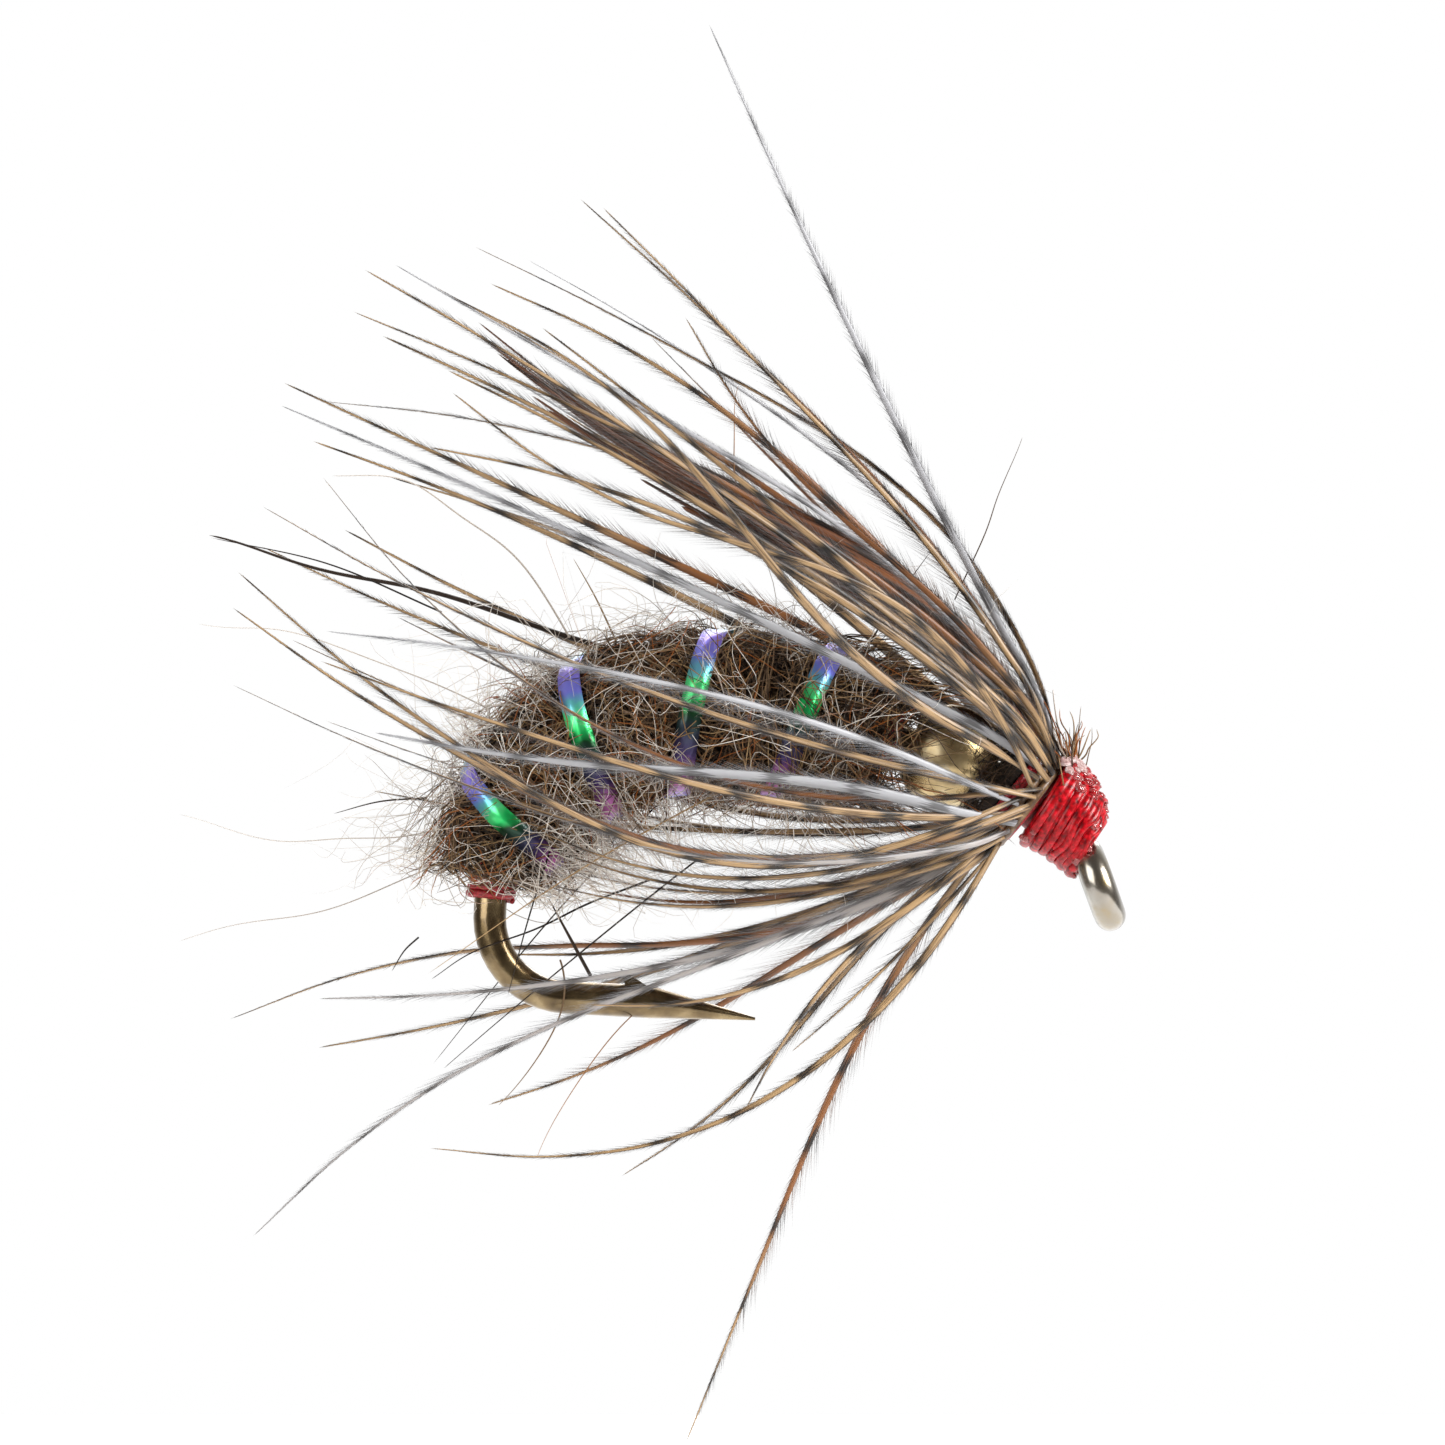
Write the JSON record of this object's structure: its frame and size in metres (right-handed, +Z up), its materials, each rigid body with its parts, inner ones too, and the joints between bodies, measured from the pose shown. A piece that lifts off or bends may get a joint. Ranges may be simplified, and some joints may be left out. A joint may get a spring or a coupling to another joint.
{
  "type": "artificial fly",
  "caption": "Bead-weighted soft-hackle fishing fly on a curved down-eyed hook: fur body ribbed with flat tinsel, feather wing and hackle, varnished thread head",
  "frame": {"origin": "the centre of the hook's eye, on the axis of its bore", "axes": "+X is the way the head faces, away from the bend; +Z is up, with the hook's point level below the body; +Y is across the hook, away from the side first seen"},
  "size_m": [0.0156, 0.0089, 0.0241],
  "materials": {
    "hook_wire": "bronzed and lacquered, glossy",
    "bead_brass": "polished",
    "tying_thread": "flat waxed nylon thread, deep red",
    "clear_varnish": "clear, glossy and lumpy",
    "pearl_tinsel": "thin pearl film, violet to green",
    "dubbed_fur": "spun hare's fur, dark brown with grey and tan",
    "guard_hair": "stiff glossy hair, nearly black",
    "feather_stem": "bare feather stem, pale horn",
    "hackle_fibre": "barred partridge hackle, straw with black-brown bands",
    "wing_fibre": "rust-brown feather fibres"
  },
  "bodies": {
    "root": {"hook": "hook_wire", "bead": "bead_brass", "thread_base_rear": "tying_thread", "thread_base_front": "tying_thread", "thread_dam": "tying_thread", "tag_wraps": "tying_thread", "wing_binding": "tying_thread", "head_thread": "tying_thread", "head_varnish": "clear_varnish", "rib_tinsel": "pearl_tinsel", "abdomen_dubbing": "dubbed_fur", "thorax_dubbing": "dubbed_fur", "collar_dubbing": "dubbed_fur", "guard_hairs": "guard_hair", "hackle_stem": "feather_stem", "hackle_crown": "hackle_fibre", "hackle_upper_near": "hackle_fibre", "hackle_upper_far": "hackle_fibre", "hackle_flank_near": "hackle_fibre", "hackle_flank_far": "hackle_fibre", "hackle_throat_near": "hackle_fibre", "hackle_throat_far": "hackle_fibre", "wing_fibres": "wing_fibre", "wing_butts": "wing_fibre"}
  },
  "joints": []
}
